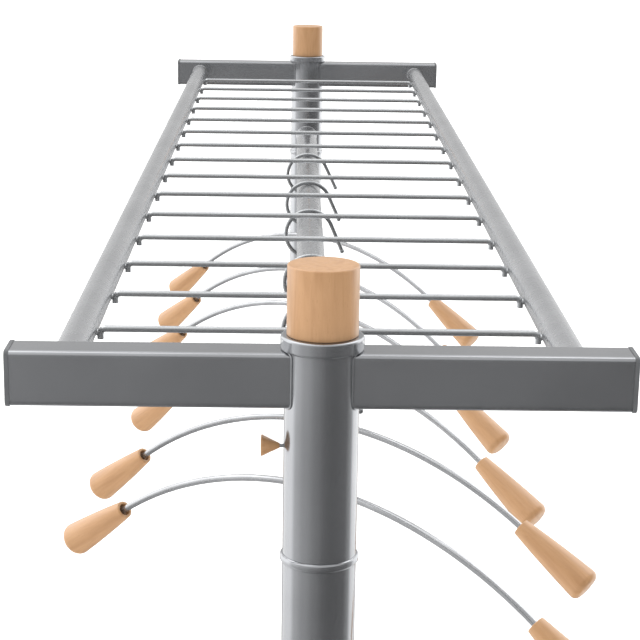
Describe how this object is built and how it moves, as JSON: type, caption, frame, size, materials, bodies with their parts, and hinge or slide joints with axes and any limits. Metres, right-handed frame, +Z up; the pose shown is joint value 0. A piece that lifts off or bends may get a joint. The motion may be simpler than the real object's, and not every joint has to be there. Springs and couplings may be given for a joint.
{
  "type": "coat rack",
  "caption": "Free-standing double-sided coat rack: round posts with wooden caps, a rod hat shelf, and a clothes rail carrying curved wire hangers with wooden knobs.",
  "frame": {"origin": "on the floor, midway between the two posts", "axes": "+X across the rack to the right seen from the front end, +Y along the clothes rail towards the rear post, +Z up"},
  "size_m": [0.499, 1.4484, 1.75],
  "materials": {
    "dark_paint": "metallic dark grey powder coat, semi-gloss",
    "silver_paint": "metallic silver-grey lacquer, satin",
    "silver_wire": "metallic silver-grey lacquer, satin",
    "hook_steel": "satin",
    "arm_steel": "satin nickel",
    "cap_wood": "clear satin lacquer, beech",
    "knob_wood": "clear satin lacquer, beech",
    "grey_plastic": "matte",
    "black_plastic": "matte"
  },
  "bodies": {
    "rack": {"post_upper_front": "dark_paint", "post_lower_front": "dark_paint", "post_joint_sleeve_front": "dark_paint", "post_collar_front": "dark_paint", "post_cap_front": "cap_wood", "post_base_plug_front": "black_plastic", "crossbar_front_left": "dark_paint", "foot_bar_front_left": "dark_paint", "crossbar_front_right": "dark_paint", "foot_bar_front_right": "dark_paint", "post_upper_rear": "dark_paint", "post_lower_rear": "dark_paint", "post_joint_sleeve_rear": "dark_paint", "post_collar_rear": "dark_paint", "post_cap_rear": "cap_wood", "post_base_plug_rear": "black_plastic", "crossbar_rear_left": "dark_paint", "foot_bar_rear_left": "dark_paint", "crossbar_rear_right": "dark_paint", "foot_bar_rear_right": "dark_paint", "crossbar_end_caps": "grey_plastic", "foot_bar_end_caps": "grey_plastic", "foot_glides": "black_plastic", "side_rail_left": "silver_paint", "side_rail_right": "silver_paint", "shelf_rods": "silver_wire", "clothes_rail": "silver_paint", "lower_tie_rail": "silver_paint"},
    "hook_1": {"hanger_1_hook": "hook_steel"},
    "hanger_1": {"hanger_1_arm": "arm_steel", "hanger_1_knob_left": "knob_wood", "hanger_1_knob_right": "knob_wood"},
    "hook_2": {"hanger_2_hook": "hook_steel"},
    "hanger_2": {"hanger_2_arm": "arm_steel", "hanger_2_knob_left": "knob_wood", "hanger_2_knob_right": "knob_wood"},
    "hook_3": {"hanger_3_hook": "hook_steel"},
    "hanger_3": {"hanger_3_arm": "arm_steel", "hanger_3_knob_left": "knob_wood", "hanger_3_knob_right": "knob_wood"},
    "hook_4": {"hanger_4_hook": "hook_steel"},
    "hanger_4": {"hanger_4_arm": "arm_steel", "hanger_4_knob_left": "knob_wood", "hanger_4_knob_right": "knob_wood"},
    "hook_5": {"hanger_5_hook": "hook_steel"},
    "hanger_5": {"hanger_5_arm": "arm_steel", "hanger_5_knob_left": "knob_wood", "hanger_5_knob_right": "knob_wood"},
    "hook_6": {"hanger_6_hook": "hook_steel"},
    "hanger_6": {"hanger_6_arm": "arm_steel", "hanger_6_knob_left": "knob_wood", "hanger_6_knob_right": "knob_wood"},
    "lock_knob": {"lock_pin": "hook_steel", "lock_knob": "knob_wood"}
  },
  "joints": [
    {"name": "hook_1_slide", "type": "slide", "parent": "rack", "child": "hook_1", "axis": [0, 1, 0], "range_m": [-0.05, 0.05]},
    {"name": "hanger_1_swivel", "type": "hinge", "parent": "hook_1", "child": "hanger_1", "pos_m": [0.00063, -0.429, 1.5302], "axis": [-0.0087, 0, 1], "range_deg": [-25, 25]},
    {"name": "hook_2_slide", "type": "slide", "parent": "rack", "child": "hook_2", "axis": [0, 1, 0], "range_m": [-0.05, 0.05]},
    {"name": "hanger_2_swivel", "type": "hinge", "parent": "hook_2", "child": "hanger_2", "pos_m": [0.00405, -0.2755, 1.53031], "axis": [-0.0558, 0, 0.9984], "range_deg": [-25, 25]},
    {"name": "hook_3_slide", "type": "slide", "parent": "rack", "child": "hook_3", "axis": [0, 1, 0], "range_m": [-0.05, 0.05]},
    {"name": "hanger_3_swivel", "type": "hinge", "parent": "hook_3", "child": "hanger_3", "pos_m": [0.00417, -0.111, 1.53032], "axis": [-0.0576, 0, 0.9983], "range_deg": [-25, 25]},
    {"name": "hook_4_slide", "type": "slide", "parent": "rack", "child": "hook_4", "axis": [0, 1, 0], "range_m": [-0.05, 0.05]},
    {"name": "hanger_4_swivel", "type": "hinge", "parent": "hook_4", "child": "hanger_4", "pos_m": [0.00114, 0.095, 1.53021], "axis": [-0.0157, 0, 0.9999], "range_deg": [-25, 25]},
    {"name": "hook_5_slide", "type": "slide", "parent": "rack", "child": "hook_5", "axis": [0, 1, 0], "range_m": [-0.05, 0.05]},
    {"name": "hanger_5_swivel", "type": "hinge", "parent": "hook_5", "child": "hanger_5", "pos_m": [0.00266, 0.2525, 1.53025], "axis": [-0.0366, 0, 0.9993], "range_deg": [-25, 25]},
    {"name": "hook_6_slide", "type": "slide", "parent": "rack", "child": "hook_6", "axis": [0, 1, 0], "range_m": [-0.05, 0.05]},
    {"name": "hanger_6_swivel", "type": "hinge", "parent": "hook_6", "child": "hanger_6", "pos_m": [0.00417, 0.439, 1.53032], "axis": [-0.0576, 0, 0.9983], "range_deg": [-25, 25]},
    {"name": "lock_knob_turn", "type": "hinge", "parent": "rack", "child": "lock_knob", "pos_m": [-0.02, -0.702, 1.6505], "axis": [1, 0, 0], "continuous": true}
  ]
}
